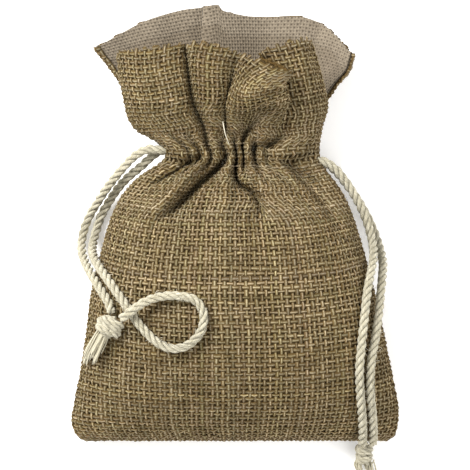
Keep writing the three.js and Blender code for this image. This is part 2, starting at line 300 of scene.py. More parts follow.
def finishMaterial(tree, s, colour, height):
    bump = addNode(tree, "ShaderNodeBump", {"Strength": s["bump"], "Distance": s["deep"], "Height": height})
    setInputs(tree, tree.nodes["Principled BSDF"], {"Base Color": colour, "Normal": bump.outputs[0]})


def yarnMaterial(name, s):
    material, tree = newMaterial(name, s)
    flecks = flecksOn(tree, addNode(tree, "ShaderNodeTexCoord", {}).outputs["Object"], s)
    colour = mixColours(tree, flecks["Mask"], s["dark"], s["light"])
    if "toneAndPaintedLight" in s:  # a colour kept on each strand: the yarn's tone with painted highlight on its crest and painted shade on its flanks, which the flecks vary
        tone = addNode(tree, "ShaderNodeAttribute", {}, attribute_name=s["toneAndPaintedLight"])
        colour = mixColours(tree, 1.0, tone.outputs["Color"], colour, "MULTIPLY")
    finishMaterial(tree, s, colour, flecks["Height"])
    return material


def liningMaterial(name, s):
    material, tree = newMaterial(name, s)
    place = addNode(tree, "ShaderNodeUVMap", {}, uv_map="weave").outputs[0]
    cloth = addNode(tree, "ShaderNodeGroup", {"Vector": place}, node_tree=fineWeave).outputs
    patchy = mathNode(tree, "MULTIPLY", flecksOn(tree, place, s)["Mask"], s["patches"])
    tone = mathNode(tree, "MULTIPLY_ADD", cloth["Over"], s["weave"], patchy)
    cover = mathNode(tree, "SMOOTH_MIN", 1.0, mathNode(tree, "MULTIPLY", cloth["Holes"], s["cover"]), 0.1)
    # the holes between the threads take a near-black colour: painted shade
    colour = mixColours(tree, cover, s["holeShade"], mixColours(tree, tone, s["dark"], s["light"]))
    finishMaterial(tree, s, colour, cloth["Height"])
    return material


def cordMaterial(name, s):  # fibres run at a slant round each strand
    material, tree = newMaterial(name, s)
    along = addNode(tree, "ShaderNodeAttribute", {}, attribute_name="along").outputs["Fac"]
    around = addNode(tree, "ShaderNodeAttribute", {}, attribute_name="around").outputs["Fac"]
    slant = mathNode(tree, "MULTIPLY_ADD", along, s["slant"], around)
    turned = mathNode(tree, "MULTIPLY", slant, 2 * math.pi)
    twisted = addNode(tree, "ShaderNodeCombineXYZ", {0: mathNode(tree, "MULTIPLY", along, s["run"]),
                                                     1: mathNode(tree, "SINE", turned),
                                                     2: mathNode(tree, "COSINE", turned)})
    flecks = flecksOn(tree, twisted.outputs[0], s)
    finishMaterial(tree, s, mixColours(tree, flecks["Mask"], s["dark"], s["light"]), flecks["Height"])
    return material


burlap, burlapPaintedShade, stitchThread, juteHair, cottonHair = [
    yarnMaterial(*item) for item in yarnFinishes.items()]
liningCloth, hemClothLit = [liningMaterial(*item) for item in liningFinishes.items()]
creamCord = cordMaterial("creamCord", cordFinish)
print("materials made")


def geometryTree(name, inputs):
    return newTree("Geometry", name, [("Geometry", "Geometry", None)] + inputs, [("Geometry", "Geometry")])


def finishTree(tree, source, material, outside):
    realize = addNode(tree, "GeometryNodeRealizeInstances", {0: source})
    smooth = addNode(tree, "GeometryNodeSetShadeSmooth", {"Geometry": realize.outputs[0]})
    paint = addNode(tree, "GeometryNodeSetMaterial", {"Geometry": smooth.outputs[0], "Material": material})
    tree.links.new(paint.outputs[0], outside.inputs[0])
    return tree


def curveFrom(name, points):
    curve = bpy.data.curves.new(name, "CURVE")
    curve.dimensions = "3D"
    spline = curve.splines.new("POLY")
    spline.points.add(len(points) - 1)
    spline.points.foreach_set("co", np.hstack([points, np.ones((len(points), 1))]).ravel())
    return addObject(name, curve)


def grow(piece, tree, values, name):  # runs a node tree on a piece and keeps the result as a plain mesh
    modifier = piece.modifiers.new("grow", "NODES")
    modifier.node_group = tree
    for item in tree.interface.items_tree:
        if item.in_out == "INPUT" and item.name in values:
            modifier[item.identifier] = values[item.name]
    depsgraph = bpy.context.evaluated_depsgraph_get()
    mesh = bpy.data.meshes.new_from_object(piece.evaluated_get(depsgraph), depsgraph=depsgraph)
    bpy.data.objects.remove(piece, do_unlink=True)
    mesh.name = name
    return addObject(name, mesh)


def resampled(tree, curve, step):
    inputs = {"Curve": curve, "Length": step}
    return addNode(tree, "GeometryNodeResampleCurve", inputs, mode="LENGTH").outputs[0]


def tubeAlong(tree, curve, profile):
    inputs = {"Curve": curve, "Profile Curve": profile, "Fill Caps": True}
    return addNode(tree, "GeometryNodeCurveToMesh", inputs).outputs[0]


def ringOf(tree, sides, radius):
    inputs = {"Resolution": sides, "Radius": radius}
    return addNode(tree, "GeometryNodeCurvePrimitiveCircle", inputs).outputs[0]


def kept(tree, curve, name, value):  # a number stored on the curve, which the cord's finish reads
    inputs = {"Geometry": curve, "Name": name, "Value": value}
    return addNode(tree, "GeometryNodeStoreNamedAttribute", inputs, data_type="FLOAT").outputs[0]


# cords: three-strand rope laid along each route
ropeLay = {"diameter": 2.6 * mm, "strandRadius": 0.57 * mm, "strandOffset": 0.69 * mm, "pitch": 7.0 * mm,
           "sides": 10, "step": 0.28 * mm, "routeStep": 0.4 * mm}


def ropeTree(material):
    tree, inside, outside = geometryTree("ropeLaying", [
        ("Strand radius", "Float", 0.0006), ("Strand offset", "Float", 0.0007), ("Pitch", "Float", 0.005),
        ("Step", "Float", 0.0003), ("Sides", "Int", 10)])
    measure = addNode(tree, "GeometryNodeSplineParameter", {}).outputs
    route = kept(tree, resampled(tree, inside["Geometry"], inside["Step"]), "along", measure["Length"])
    ring = kept(tree, ringOf(tree, inside["Sides"], inside["Strand radius"]), "around", measure["Factor"])
    tangent = addNode(tree, "GeometryNodeInputTangent", {}).outputs[0]
    normal = addNode(tree, "GeometryNodeInputNormal", {}).outputs[0]
    across = addNode(tree, "ShaderNodeVectorMath", {0: tangent, 1: normal}, operation="CROSS_PRODUCT")
    turns = mathNode(tree, "DIVIDE", measure["Length"], inside["Pitch"])
    turn = mathNode(tree, "MULTIPLY", turns, 2 * math.pi)
    join = addNode(tree, "GeometryNodeJoinGeometry", {})
    for strand in range(3):
        angle = mathNode(tree, "ADD", turn, strand * 2 * math.pi / 3)
        parts = []
        for source, way in ((normal, "COSINE"), (across.outputs[0], "SINE")):
            reach = mathNode(tree, "MULTIPLY", mathNode(tree, way, angle), inside["Strand offset"])
            scaled = addNode(tree, "ShaderNodeVectorMath", {0: source, "Scale": reach}, operation="SCALE")
            parts.append(scaled.outputs[0])
        offset = addNode(tree, "ShaderNodeVectorMath", {0: parts[0], 1: parts[1]}).outputs[0]
        shift = addNode(tree, "GeometryNodeSetPosition", {"Geometry": route, "Offset": offset})
        tree.links.new(tubeAlong(tree, shift.outputs[0], ring), join.inputs[0])
    return finishTree(tree, join.outputs[0], material, outside)


ropeLaying = ropeTree(creamCord)


def layRope(name, route, thin=1.0):
    values = {"Strand radius": ropeLay["strandRadius"] * thin,
              "Strand offset": ropeLay["strandOffset"] * thin,
              "Pitch": ropeLay["pitch"] * thin, "Step": ropeLay["step"], "Sides": ropeLay["sides"]}
    return grow(curveFrom(name + "Route", route), ropeLaying, values, name)


# from inside the channel to the knot, in millimetres
cordRoutes = {
    "left_cord_outer": [
        [-14, 19.9, 11.3], [-17.4, 19.9, 11.3], [-20.8, 19.9, 11.2], [-23.6, 20.1, 10.7], [-26, 19.2, 10],
        [-28.3, 17.5, 9.2], [-30.6, 15.1, 8.3], [-33, 12.3, 7.2], [-35.4, 9.2, 5.8], [-37.6, 5.9, 4.2],
        [-39.7, 2.6, 2.6], [-41.3, -1, 1.7], [-42.1, -4.4, 2.2], [-42.1, -7.4, 4.8], [-41.3, -10.2, 8.6],
        [-39.8, -13, 13.2], [-37.9, -16.1, 17.4], [-35.7, -19.4, 20.6], [-34, -22.2, 22.6],
        [-33.5, -24.4, 23.6]],
    "left_cord_loop": [
        [-14, 19.9, 8.3], [-17.4, 19.9, 8.3], [-20.6, 19.6, 8.2], [-23, 18, 7.8], [-25.2, 15.9, 7.1],
        [-27.8, 13.8, 6.2], [-30.4, 11.5, 5], [-32.8, 8.6, 3.5], [-34.9, 5.4, 2.4], [-36.8, 2, 1.6],
        [-38, -1.4, 1.6], [-38.8, -4.8, 3.6], [-39.1, -7.4, 7.8], [-38.3, -10, 13.3], [-36.3, -13, 18.2],
        [-33.8, -16.4, 21.8], [-31.2, -20, 24.4], [-28.8, -23.3, 26], [-25.4, -28, 27.4], [-21, -32.3, 28.3],
        [-16.8, -34, 28.9], [-12.6, -33, 29.8], [-9.2, -29.4, 30.8], [-8.4, -24.8, 31.4], [-10.6, -21, 31.4],
        [-15, -19.8, 31], [-20, -20, 30.3], [-24.2, -21.4, 29.6], [-27.6, -23.7, 29.9], [-30.6, -26, 28.6]],
    "right_cord_inner": [
        [18.3, 16.9, 11.3], [21.2, 16.9, 11.3], [24.4, 16.7, 11.2], [27.2, 14.9, 10.4], [30.2, 11.4, 9.2],
        [33.2, 6.8, 7.4], [35.6, 2, 6], [37.2, -2.8, 6.2], [37.9, -6.6, 8.8], [37.9, -9.8, 12.4],
        [37.1, -13.6, 16], [36, -19, 19.2], [35.1, -26.4, 21.2], [34.3, -33.8, 22.2], [33.8, -40, 21.8],
        [34.1, -46.7, 19.6], [34.6, -51.6, 16.9], [34.9, -55.4, 14.3], [35, -58.2, 11.7], [35, -60.6, 9]],
    "right_cord_outer": [
        [18.3, 16.9, 8.3], [21.2, 16.9, 8.3], [24.6, 16.5, 8.1], [27.6, 14.2, 7], [31, 10.2, 5],
        [34.2, 5.6, 3], [37, 0.6, 1.7], [39, -4.2, 1.7], [40.2, -8.2, 4.4], [40.6, -11.6, 8.4],
        [40.3, -15, 11.9], [39.8, -19.2, 14.6], [39.2, -25, 16.7], [38.2, -31.4, 18.6], [37.1, -37.5, 19.9],
        [36.8, -43, 19.4], [37, -48, 17.6], [37.5, -52.4, 15.2], [37.8, -56, 12.8], [37.9, -58.8, 10.4],
        [37.7, -60.8, 8.7]]}

# the frayed ends below each knot
tailRoutes = {
    "left": [[[-35, -29.6, 23.6], [-36.1, -32, 22.6], [-37.6, -35, 21], [-38.6, -37.4, 19.4]],
             [[-36.6, -29.4, 23], [-37.9, -31.9, 20.9], [-39.6, -35.2, 18.2], [-40.8, -38.6, 15]]],
    "right": [[[34.1, -65.7, 2.6], [34.1, -66.8, 1.8], [34.3, -68, 1.5], [34.4, -69.2, 1.5]],
              [[36.9, -65.7, 2.6], [37.1, -66.8, 1.8], [37.1, -68, 1.5], [37.2, -69.2, 1.5]]]}
knots = {
    "left": {"centre": (-34.0, -28.2, 24.4), "axis": (-0.3, -0.93, -0.2), "reach": 2.2, "wrapRadius": 2.95,
             "wraps": 1.3, "slip": 0.95, "squash": 0.5, "thin": 0.9},
    "right": {"centre": (35.6, -63.3, 4.1), "axis": (0.06, -0.9, -0.42), "reach": 2.9, "wrapRadius": 1.65,
              "wraps": 1.6, "slip": 1.2, "squash": 0.86, "thin": 0.8}}
knotLay = {"starts": (0.5, 3.4), "points": 26, "advance": 1.5, "oval": 0.12, "apart": 1.0, "step": 0.3 * mm}
fray = {"fibres": 38, "radius": 0.2 * mm, "step": 0.6 * mm, "bundle": 0.46,
        "spread": {"left": 0.25, "right": 0.5}, "wander": 0.8, "shortest": 0.72, "low": 0.4 * mm, "seed": 11}


def tubesMesh(name, lines, radius, material, sides=5, tip=0.35):  # plain round tubes with closed ends
    points, quads = [], []
    base = 0
    angles = np.arange(sides) * 2 * math.pi / sides
    for line in lines:
        tangent = np.gradient(line, axis=0)
        tangent /= np.linalg.norm(tangent, axis=1)[:, None] + 1e-12
        side = np.cross(tangent, [0.13, 0.22, 0.97])
        side /= np.linalg.norm(side, axis=1)[:, None] + 1e-12
        up = np.cross(side, tangent)
        size = np.full(len(line), radius)
        size[0] = size[-1] = radius * tip
        spokes = np.cos(angles)[None, :, None] * side[:, None] + np.sin(angles)[None, :, None] * up[:, None]
        points.append((line[:, None] + size[:, None, None] * spokes).reshape(-1, 3))
        points.append(np.stack([line[0] - tangent[0] * radius * 0.3, line[-1] + tangent[-1] * radius * 0.3]))
        first = base + len(line) * sides
        index = np.arange(base, first).reshape(-1, sides)
        turned = np.roll(index, -1, axis=1)
        quads.append(np.stack([index[:-1], turned[:-1], turned[1:], index[1:]], -1).reshape(-1, 4))
        for k in range(sides):
            quads.append([[first, turned[0, k], index[0, k], first],
                          [first + 1, index[-1, k], turned[-1, k], first + 1]])
        base = first + 2
    return meshFrom(name, np.vstack(points), np.vstack(quads), material)


def frayTail(name, route, seed, spread):  # untwisted yarn ends
    random = np.random.default_rng(seed)
    fibres = []
    route = routeThrough(route, fray["step"])
    share = np.linspace(0, 1, len(route))[:, None]
    for k in range(fray["fibres"]):
        offset = random.normal(0, 1, 3)
        wander = random.normal(0, 1, 3)
        keep = int(len(route) * random.uniform(fray["shortest"], 1.0))
        line = (route + offset * mm * (fray["bundle"] + spread * share)
                + wander * mm * spread * fray["wander"] * np.sin(share * 3 + k))
        line[:, 2] = np.maximum(line[:, 2], fray["low"])
        fibres.append(line[:max(keep, 4)])
    return tubesMesh(name, fibres, fray["radius"], creamCord)


def knotRoutes(k):  # two cords through the knot, each with a wrap round the other
    axis = np.array(k["axis"]) / np.linalg.norm(k["axis"])
    side = np.cross(axis, [0, 0, 1])
    side /= np.linalg.norm(side)
    up = np.cross(side, axis)
    centre = np.array(k["centre"], float)
    routes = []
    for way, start in zip((-1, 1), knotLay["starts"]):
        turns = np.linspace(0, 2 * math.pi * k["wraps"], knotLay["points"])
        along = way * k["slip"] + (turns / turns[-1] - 0.5) * knotLay["advance"]
        radius = k["wrapRadius"] * (1 - knotLay["oval"] * np.cos(2 * turns))
        ring = (centre + axis * along[:, None] + side * (radius * np.cos(turns + start))[:, None]
                + up * (radius * k["squash"] * np.sin(turns + start))[:, None])
        lead = centre - axis * k["reach"] + side * way * knotLay["apart"]
        tail = centre + axis * k["reach"] - side * way * knotLay["apart"]
        routes.append(np.vstack([lead, ring, tail]))
    return routes


def makeKnot(name, k):
    return joinPieces(name, [layRope("%s%d" % (name, n), routeThrough(route, knotLay["step"]), k["thin"])
                             for n, route in enumerate(knotRoutes(k))])


def assign(piece, body, material, *nodes):  # the body it rides, a finish that is not used, and the solids it stands for
    if nodes:
        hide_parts(*nodes)
    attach(piece, body)


cordBodies = {"left": "left_drawstring", "right": "right_drawstring"}
tailNodes = {"left": ("left_tail_inner", "left_tail_outer"), "right": ("right_tail_left", "right_tail_right")}
cordPaths = {node: routeThrough(route, ropeLay["routeStep"]) for node, route in cordRoutes.items()}
ropes = {node: layRope(node + "_rope", path) for node, path in cordPaths.items()}
for node, rope in ropes.items():
    assign(rope, cordBodies[node.split("_")[0]], "cord", node)

for side, body in cordBodies.items():
    knot = makeKnot(side + "_knot_rope", knots[side])
    tails = joinPieces(side + "_tails_frayed", [
        frayTail("%s_tail_%d" % (side, n), route, fray["seed"] + n, fray["spread"][side])
        for n, route in enumerate(tailRoutes[side])])
    assign(knot, body, "cord", side + "_knot")
    assign(tails, body, "cord", *tailNodes[side])

# the loops inside the channel: the bow is share of the half width and rise, mirrored for the way back
channel = {"levels": {"left_channel_cord": (-1, 19.9), "right_channel_cord": (1, 16.9)},
           "middle": 2.2, "half": 20.8, "height": 9.8, "flatten": 0.3, "flattenAbove": 2.2,
           "bow": [[-0.71, 1.5], [-0.665, 2.1], [-0.58, 4.1], [-0.35, 5.4], [0, 5.75], [0.35, 5.5],
                   [0.6, 4.6], [0.78, 2.6], [0.85, 0]]}
for node, (way, y) in channel["levels"].items():
    upper = [[channel["middle"] - way * channel["half"] * across, y,
              channel["height"] + rise * (channel["flatten"] if rise > channel["flattenAbove"] else 1)]
             for across, rise in channel["bow"]]
    lower = [[x, y, 2 * channel["height"] - z] for x, y, z in reversed(upper[:-1])]
    loopRope = layRope(node + "_rope", routeThrough(upper + lower, ropeLay["routeStep"]))
    assign(loopRope, "pouch", "cord", node)
print("cords laid")


# cloth: outline, heights and folds of the pouch, all in millimetres
pouch = {
    "leftEdge": [[-59.8, -41], [-58.6, -43.2], [-55, -44.7], [-50, -44], [-43, -42.6], [-32, -40.8],
                 [-18, -38.9], [-12, -37.4], [-6, -35.9], [0.5, -34], [5, -32], [9, -29.4], [13, -25],
                 [15.5, -20.6], [18.4, -18.6], [21.5, -20.6], [24, -25], [27, -27.4], [31, -29.2],
                 [38, -32.4], [42.5, -35.4], [47, -37.8], [49, -38.6]],
    "rightEdge": [[-59.8, 41.5], [-58.6, 43.6], [-55, 44.7], [-50, 44.6], [-45, 43.6], [-34, 41.4],
                  [-22, 38.8], [-14, 36.8], [-9, 35.4], [-3.5, 33.9], [4.5, 31], [9, 28.6], [13, 25.4],
                  [15.5, 23.6], [18.4, 23], [21.5, 23.1], [26, 23.8], [29.5, 24.6], [32.5, 26.4], [36, 29],
                  [40, 31.2], [47, 32.8]],
    "seamHeight": [[-59.8, 5.6], [-52, 6.6], [-40, 8.4], [-25, 9], [0, 9], [18.4, 9.8], [30, 9], [47, 8.5]],
    "frontRise": [[-59.8, 0.5], [-59.5, 1.6], [-58.9, 3.4], [-56, 8], [-50, 13], [-42, 17.2], [-30, 20],
                  [-18, 20.8], [-6, 19.8], [2, 17], [8, 13.4], [13, 10], [15.2, 8.6], [18.4, 8.4],
                  [22.8, 8.6]],
    "backDrop": [[-59.8, 0.25], [-59.5, 1.2], [-58.9, 2.8], [-56, 4.8], [-50, 7.2], [-42, 9.6], [0, 10.4],
                 [8, 9.8], [15.2, 8.3], [22.8, 8.3], [42, 5.6], [59.8, 3.4]],
    "backTop": [[-37.8, 48.4], [-33.1, 51.4], [-28.7, 53.8], [-24.6, 55.8], [-19.4, 57.6], [-14.2, 58.9],
                [-9.5, 59.5], [-5.8, 60.2], [-4.4, 60.1], [-3.7, 58.7], [3.9, 57.1], [8, 56.7], [17.8, 57],
                [20.6, 56.4], [25.2, 54.4], [28.8, 50.8], [32.8, 46]],
    "bodyRows": [-59.8, -59.5, -58.9, -57.8, -56, -53.5, -50, -46, -42, -36, -30, -24, -18, -12, -6, -1],
    "neck": 18.4, "panelTop": 22.8, "neckMiddle": 2.2, "neckHalf": 20.8, "neckRise": 18.0, "halfFlat": 45.0,
    "skin": 0.45, "seamGap": 0.15, "low": 0.68, "frontRound": (2.5, 0.58), "backRound": (3.4, 0.7),
    "columns": 361}
half = pouch["halfFlat"]
centreColumn = pouch["columns"] // 2

# rows of the front cloth that are given point by point: the neck's gathers and the flap's lobes
gatherRow = [[-18.6, 18.8, 9.8], [-18.3, 18.7, 13.2], [-16.2, 18.4, 16.4], [-13.5, 18, 17.6], [-12.2, 18, 15],
             [-10.6, 18, 17.9], [-9.3, 18.2, 14.4], [-7.8, 18.3, 18.3], [-6.4, 18.4, 13.8],
             [-4.6, 18.4, 18.7], [-2.4, 18.4, 13.2], [-0.8, 18.4, 18.6], [0.6, 18.4, 13.2], [1.5, 18.4, 18],
             [2.4, 18.4, 13.4], [3.7, 18.4, 18.6], [5.1, 18.3, 14], [7, 18.2, 18.5], [8.7, 18, 15.4],
             [11.5, 17.8, 18.2], [15, 17.9, 17.5], [19, 18.4, 16.1], [22.2, 18.9, 13.2], [23, 19.1, 9.8]]
aboveNeckRow = [[-27.6, 26, 12], [-26.4, 26, 14.8], [-24, 26, 17], [-21, 26, 18.6], [-17.5, 26, 19.6],
                [-14, 26, 20.2], [-10.5, 26, 19.8], [-8.3, 26, 16.6], [-7.4, 26, 19.4], [-5.2, 26, 21],
                [-3.4, 26, 19.8], [-2.7, 26, 16.6], [-1.7, 26, 20], [0.4, 26, 20.8], [2, 26, 17.8],
                [3.7, 25.4, 14.2], [5.6, 26, 18.4], [8, 26, 21], [10.8, 26, 20.6], [12.8, 26, 18.2],
                [14.8, 26, 18.8], [18.2, 26, 18], [22.6, 26, 15.6], [23.8, 26, 11]]
lobeRow = [[-30.2, 33, 14], [-28.8, 33, 17.8], [-26.2, 33, 21], [-23, 33, 23], [-20, 33, 24],
           [-16.5, 33, 24.4], [-13, 33, 23.6], [-11.6, 33, 20.2], [-10.6, 33, 23.4], [-8, 33, 25.6],
           [-5, 33, 26], [-2.8, 33, 24.2], [-2.1, 33, 21.6], [-1.6, 33, 26], [2.4, 33, 29.2], [7.5, 33, 30.2],
           [12, 32.6, 28.2], [14.6, 32.4, 24.9], [12.9, 32.6, 22.6], [11.6, 33, 21.6], [13.4, 33, 21],
           [17.5, 33, 21.4], [22.5, 33, 19], [25.4, 33, 14]]
brimRow = [[-32.4, 46.8, 20], [-31, 47.4, 24], [-28, 47.8, 27.5], [-24.5, 48.2, 30], [-21, 48.6, 31.3],
           [-17.5, 49, 31.8], [-14.4, 49.1, 31], [-13.6, 48.8, 28.4], [-12.9, 48.6, 31.6], [-10.2, 49.6, 34],
           [-6.5, 49.2, 35], [-2.8, 48.3, 34.6], [0.4, 47, 33], [3.6, 46.2, 33.6], [7.5, 44, 35.2],
           [12, 42.2, 35.2], [15.8, 41.6, 33.4], [16.4, 41.4, 31], [12, 43.4, 29.4], [6.6, 46, 28],
           [6.8, 47.6, 26.8], [11.5, 49, 27.2], [17.5, 51, 25.5], [20.6, 50.6, 20]]

# how far the neck's gathers have grown in at each height below and above them
gatherShares = [(3.5, 0.06), (7.5, 0.18), (11, 0.4), (13.6, 0.66), (16, 0.9)]
gatherAbove = (21.2, 0.92)

# the back: its gathers at the neck, then a flap that lies on the table with its side edges curled in
back = {"lastPlain": 4.0, "gatherShares": [(8, 0.2), (12, 0.6), (15.6, 0.95), (18.4, 1.0), (21.4, 0.95)],
        "gatherWaves": 8.5, "gatherDepth": 4.2, "flapShares": [0.12, 0.28, 0.5, 0.72, 0.9, 0.97, 1.0],
        "leftTop": 48.4, "rightTop": 46, "leftEnd": -37.8, "rightEnd": 32.8, "low": 2.4, "lift": 1.8,
        "curls": ((-1, 0.86, 1.3), (1, 0.93, 0.6)), "curlTurn": 3.8, "table": 0.7}

# creases and soft ridges: how wide the right-hand side is, then x, y, depth and half width at each point
creases = [
    (0.4, [[-1.9, 18.5, 0.4, 1.4], [-5.7, 14.7, 1.6, 2], [-9.5, 10.9, 3, 2.6], [-13.6, 6.8, 3.6, 3.1],
           [-17.8, 3.2, 2.7, 3.8], [-21, -0.4, 1.6, 4.4], [-24, -5, 0.5, 5], [-26, -10, 0.1, 5.4]]),
    (0.9, [[0.8, 20.4, 0.7, 0.8], [-1.9, 18.2, 1.1, 0.9], [-5.7, 14.5, 4.2, 1.1], [-9.5, 10.8, 5.2, 1.3],
           [-13.6, 6.7, 3.4, 1.5], [-17.8, 3.1, 1.1, 1.9], [-21, -0.6, 0.2, 2.3], [-22.5, -3, 0.1, 2.5]]),
    (1, [[0.4, 17.6, 1, 0.8], [0.4, 11.9, 6.2, 0.95], [1.8, 9.8, 7.6, 1], [4.7, 8.2, 7.6, 1],
         [6.5, 6, 6, 1.05], [7.4, 3.2, 2.6, 1.2], [7.8, 0, 0.2, 1.6]]),
    (1, [[2, 7.5, 0.3, 2], [5.2, 4.6, 1.6, 2.4], [7, 0, 1.4, 2.8], [8, -6, 0.2, 3.2]]),
    (1, [[1.8, 26, 1.2, 0.8], [1.8, 18.5, 0.6, 0.8], [2.3, 15.7, 1.2, 0.8]]),
    (1.6, [[-13.3, 48.7, 0.6, 0.8], [-12.6, 42.1, 1.6, 0.9], [-11.4, 34.5, 2.2, 1.1], [-9.5, 28.9, 2.6, 1.2],
           [-7.1, 21.8, 1.2, 1]]),
    (1, [[-20.8, 18.5, 1.4, 1.2], [-15.2, 16.4, 2.4, 1.2], [-12.8, 15.7, 2.4, 1.1], [-9.5, 17.5, 1.8, 1]]),
    (1, [[23, 19.4, 1.4, 1.2], [16.9, 17.1, 2.4, 1.3], [13.6, 15.9, 1.2, 1.3]]),
    (0.38, [[12.4, 17, 0.6, 1.6], [14.1, 15.5, 3.4, 2], [16.9, 13, 6, 2.5], [20.4, 9.4, 6, 2.9],
            [24, 5.4, 3.8, 3.3], [27.2, 0, 1.4, 3.6], [29, -6, 0.1, 4]]),
    (1, [[5.1, 20.4, 2.8, 1], [9.9, 21.3, 2.8, 1.1], [14.1, 23.7, 1.6, 1.3]]),
    (1, [[4.7, 20.9, 1.2, 0.8], [5.6, 17.6, 1, 1], [8, 14.3, 1.8, 1.3], [11, 11, 0.9, 1.8],
         [14, 7, 0.4, 2.2]]),
    (1, [[-10.6, 17.4, 1.8, 1.1], [-15.3, 13.3, 2.4, 1.5], [-20.2, 10.5, 2.2, 1.9], [-28.7, 7, 0.6, 2.4]]),
    (1, [[-6.5, 17.6, -0.4, 1.5], [-11, 13.8, -2.2, 1.8], [-16.5, 9.2, -2.8, 2.8], [-22, 4.4, -2, 3.6],
         [-27, -1, -0.6, 4.4]]),
    (1, [[-1.5, 15, -0.8, 1.2], [-2.6, 8, -1.6, 2.6], [-4.5, -2, -0.8, 4.5]]),
    (1, [[3, 17, -0.5, 1.2], [6.5, 13, -1.6, 2.2], [11.5, 8.2, -2.4, 3.4], [17, 1.6, -1.2, 4.4],
         [21, -6, -0.2, 5]]),
    (1, [[-3, -20, -0.5, 9], [4, -32, -0.7, 10]]),
    (1, [[-26, -38, 0.7, 4], [-14, -50, 0.5, 4]]),
    (1, [[22, -22, 0.8, 4], [26, -44, 0.7, 4]]),
    (1, [[9, -12, 0.6, 3], [14, -30, 0.5, 4]])]
backCreases = [
    (2.5, [[-8.6, 60, 1, 0.9], [-9, 51, 0.9, 0.9], [-8.5, 40, 0.2, 1.2]]),
    (1, [[-24, 56, -1.2, 4], [-19, 42, -0.9, 4], [-12, 28, -0.3, 3]]),
    (1, [[15, 57, -1.2, 4.5], [12, 42, -1, 4], [8, 28, -0.3, 3]]),
    (1, [[24, 55, 0.9, 2], [20, 42, 0.8, 2.4], [15, 28, 0.3, 3]])]
twist = {"at": (6.2, 31.8, 29.4), "angle": 27.0, "core": 3.0, "fade": 14.0}
clothGrid = {"rows": 280, "across": 271, "perMm": 3, "settle": (-2, 16), "uneven": 0.6, "flapUneven": 0.8,
             "blur": 45, "blurReach": 2.2}


def through(pairs):
    pairs = np.array(pairs, float)
    return lambda at: hermite(pairs[:, 0], pairs[:, 1], np.ravel(at)).reshape(np.shape(at))


leftEdge, rightEdge, seamHeight = [through(pouch[name]) for name in ("leftEdge", "rightEdge", "seamHeight")]
frontRise, backDrop, backTop = [through(pouch[name]) for name in ("frontRise", "backDrop", "backTop")]


def openRow(y, front):  # one row of the body's plain shape, evenly spaced along the cloth
    u = np.sin(np.linspace(-math.pi / 2, math.pi / 2, 401))
    left, right = leftEdge(y), rightEdge(y)
    x = (left + right) / 2 + (right - left) / 2 * u
    outer, inner = pouch["frontRound" if front else "backRound"]
    bulge = (1 - np.abs(u) ** outer) ** inner
    if front:
        z = seamHeight(y) + pouch["seamGap"] + (frontRise(y) - pouch["skin"]) * bulge
    else:
        z = np.maximum(seamHeight(y) - pouch["seamGap"] - backDrop(y) * bulge, pouch["low"])
    return evenly(np.stack([x, np.full_like(x, y), z], 1), pouch["columns"])


def handRow(corners):
    fine = hermite(np.arange(len(corners)), corners, np.linspace(0, len(corners) - 1, 900))
    return evenly(fine, pouch["columns"])


def gathered(y, share, row):  # part plain body, part neck gathers
    plain, folded = openRow(y, True), row.copy()
    middle, reach = (leftEdge(y) + rightEdge(y)) / 2, (rightEdge(y) - leftEdge(y)) / 2
    folded[:, 0] = middle + (folded[:, 0] - pouch["neckMiddle"]) * reach / pouch["neckHalf"]
    folded[:, 1] += y - pouch["neck"]
    folded[:, 2] += plain[centreColumn, 2] - pouch["neckRise"]
    return plain * (1 - share) + folded * share


def frontStations():
    gathers = handRow(gatherRow)
    rows = [openRow(y, True) for y in pouch["bodyRows"]]
    rows += [gathered(y, share, gathers) for y, share in gatherShares]
    rows += [gathers, gathered(*gatherAbove, gathers)]
    return np.array(rows + [handRow(row) for row in (aboveNeckRow, lobeRow, brimRow)])


def backStations():
    rows = [openRow(y, False) for y in pouch["bodyRows"] + [back["lastPlain"]]]
    across = np.linspace(-1, 1, pouch["columns"])
    for y, share in back["gatherShares"]:
        row = openRow(y, False)
        fold = 0.5 - 0.5 * np.cos(across * back["gatherWaves"] * math.pi + 0.6)
        row[:, 2] += back["gatherDepth"] * share * fold * (1 - np.abs(across) ** 4)
        rows.append(evenly(row, pouch["columns"]))
    start = pouch["panelTop"]
    side = np.sin(across * math.pi / 2)
    for share in back["flapShares"]:
        left = leftEdge(start + share * (back["leftTop"] - start))
        right = rightEdge(start + share * (back["rightTop"] - start))
        x = (left + right) / 2 + (right - left) / 2 * side
        y = start + share * (backTop(np.clip(x, back["leftEnd"], back["rightEnd"])) - start)
        wave = 1.5 * np.cos(side * 9.5 + 0.5) * (1 - share) + 1.1 * share * np.cos(side * 5.2 + 1.1)
        low = back["low"] + back["lift"] * share + wave * (1 - side ** 4)
        z = low + (seamHeight(y) - pouch["seamGap"] - low) * np.abs(side) ** 5
        for way, edge, curlSize in back["curls"]:
            size = curlSize * share
            curl = np.clip((across * way - edge) / (1 - edge), 0, 1)
            bent = curl > 0
            first = int(np.argmax(bent)) - 1 if way > 0 else int(len(across) - np.argmax(bent[::-1]))
            turn = curl[bent] * back["curlTurn"]
            x[bent] = x[first] + way * size * (0.1 + np.sin(turn))
            z[bent] = z[first] + size * (1 - np.cos(turn)) + size * 0.1
        rows.append(evenly(np.stack([x, y, np.maximum(z, back["table"])], 1), pouch["columns"]))
    return np.array(rows)


